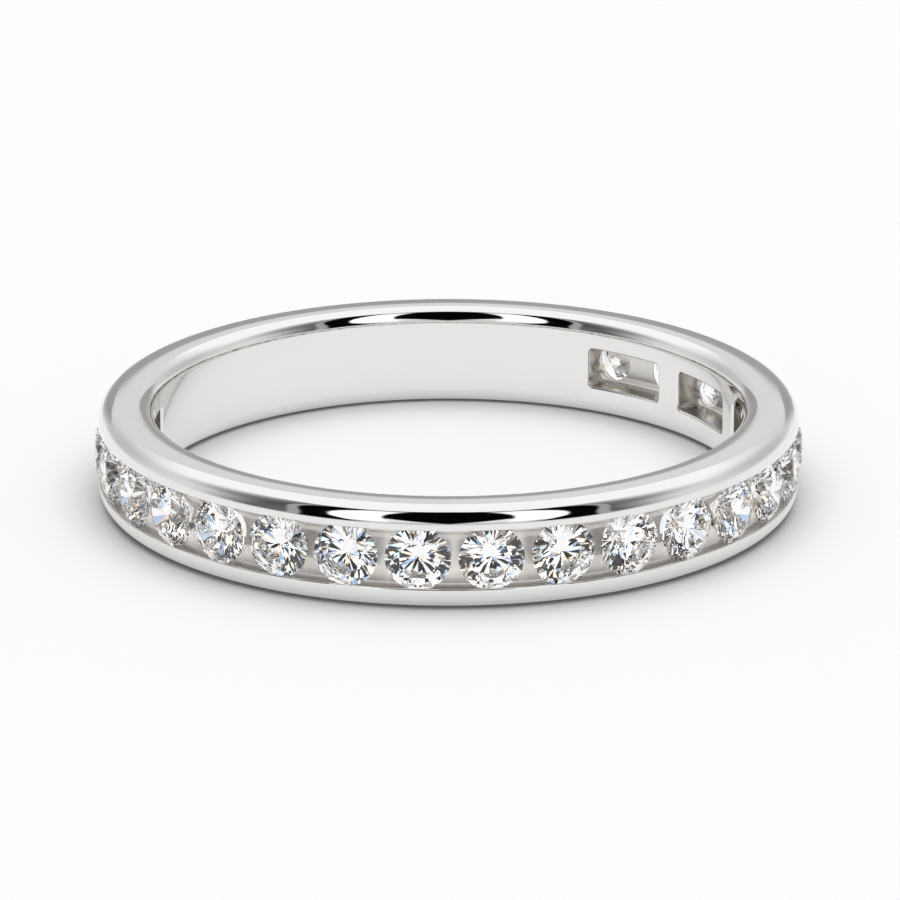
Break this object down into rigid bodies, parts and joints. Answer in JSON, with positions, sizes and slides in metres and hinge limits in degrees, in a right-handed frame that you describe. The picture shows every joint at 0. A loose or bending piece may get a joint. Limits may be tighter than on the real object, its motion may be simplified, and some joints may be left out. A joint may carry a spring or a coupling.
{
  "type": "channel set band ring",
  "caption": "Slim finger ring with round brilliants held in a channel between two rails and rectangular windows inside.",
  "frame": {"origin": "on the finger axis, in the plane of the face that the ring rests on", "axes": "+Z along the finger axis and up as the ring lies, -Y towards the middle of the channel"},
  "size_m": [0.0208, 0.0207, 0.003],
  "materials": {
    "white_metal": "mirror-polished white gold or platinum",
    "brilliant": "clear colourless faceted gem"
  },
  "bodies": {
    "root": {"band": "white_metal", "stone_01": "brilliant", "stone_02": "brilliant", "stone_03": "brilliant", "stone_04": "brilliant", "stone_05": "brilliant", "stone_06": "brilliant", "stone_07": "brilliant", "stone_08": "brilliant", "stone_09": "brilliant", "stone_10": "brilliant", "stone_11": "brilliant", "stone_12": "brilliant", "stone_13": "brilliant", "stone_14": "brilliant", "stone_15": "brilliant", "stone_16": "brilliant", "stone_17": "brilliant", "stone_18": "brilliant", "stone_19": "brilliant", "stone_20": "brilliant", "stone_21": "brilliant", "stone_22": "brilliant"}
  },
  "joints": []
}
